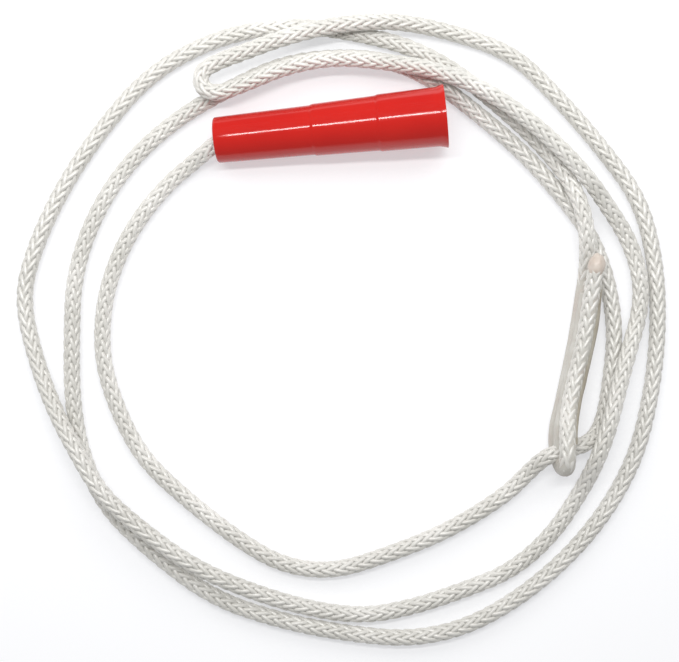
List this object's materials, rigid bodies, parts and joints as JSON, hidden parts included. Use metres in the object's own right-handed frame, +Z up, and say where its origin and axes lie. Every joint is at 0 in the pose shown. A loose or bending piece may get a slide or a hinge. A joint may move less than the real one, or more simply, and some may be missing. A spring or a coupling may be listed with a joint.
{
  "type": "pull cord",
  "caption": "Loosely coiled white braided pull cord with a hollow stepped red handle on one end and a small bonded running eye on the other.",
  "frame": {"origin": "on the surface that the part lies on, under the middle of the handle", "axes": "+Z up; +X along the handle's length in plan, from its cord end to its open mouth"},
  "size_m": [0.2416, 0.2375, 0.025],
  "materials": {
    "handle_plastic": "moulded, glossy",
    "cord_braid": "braided polyester, soft sheen",
    "melted_end": "melted and scorched",
    "adhesive": "cured clear adhesive, slightly satin"
  },
  "bodies": {
    "cord": {"cord": "cord_braid", "stopper_knot": "cord_braid", "knot_end_seal": "melted_end", "eye_fold": "cord_braid", "eye_tail": "cord_braid", "tail_end_seal": "melted_end", "eye_bond": "adhesive"},
    "handle": {"handle": "handle_plastic"}
  },
  "joints": [
    {"name": "handle_swivel", "type": "hinge", "parent": "cord", "child": "handle", "pos_m": [-0.04252, 0, 0.00834], "axis": [0.9981, 0, 0.061], "continuous": true}
  ]
}
